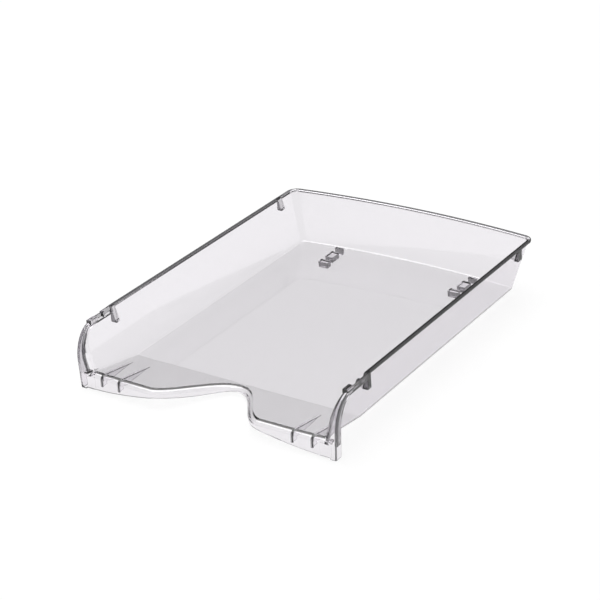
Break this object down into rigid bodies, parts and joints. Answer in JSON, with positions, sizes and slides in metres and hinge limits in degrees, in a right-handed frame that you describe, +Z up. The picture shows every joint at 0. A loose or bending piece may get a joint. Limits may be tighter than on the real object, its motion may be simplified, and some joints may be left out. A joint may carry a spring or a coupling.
{
  "type": "letter tray",
  "caption": "Clear stackable desk letter tray: flat floor, leaning walls with a rolled rim, front ramp with a wide finger notch, front posts and rear feet.",
  "frame": {"origin": "centre of the footprint, on the table under the feet", "axes": "+X to the tray's right seen from the front, +Y to the rear wall, +Z up; the finger notch is at -Y"},
  "size_m": [0.254, 0.335, 0.0544],
  "materials": {
    "clear_plastic": "clear, polished"
  },
  "bodies": {
    "root": {"floor_panel": "clear_plastic", "front_ramp": "clear_plastic", "front_skirt": "clear_plastic", "left_side_wall": "clear_plastic", "right_side_wall": "clear_plastic", "rear_wall": "clear_plastic", "left_rear_corner": "clear_plastic", "right_rear_corner": "clear_plastic", "left_rail": "clear_plastic", "right_rail": "clear_plastic", "rear_rim": "clear_plastic", "left_front_post": "clear_plastic", "right_front_post": "clear_plastic", "left_front_rib": "clear_plastic", "right_front_rib": "clear_plastic", "left_rear_rib": "clear_plastic", "right_rear_rib": "clear_plastic", "left_seat_lug": "clear_plastic", "right_seat_lug": "clear_plastic", "left_outer_gusset": "clear_plastic", "left_inner_gusset": "clear_plastic", "right_inner_gusset": "clear_plastic", "right_outer_gusset": "clear_plastic", "left_foot_front": "clear_plastic", "left_foot_middle": "clear_plastic", "left_foot_rear": "clear_plastic", "right_foot_front": "clear_plastic", "right_foot_middle": "clear_plastic", "right_foot_rear": "clear_plastic"}
  },
  "joints": []
}
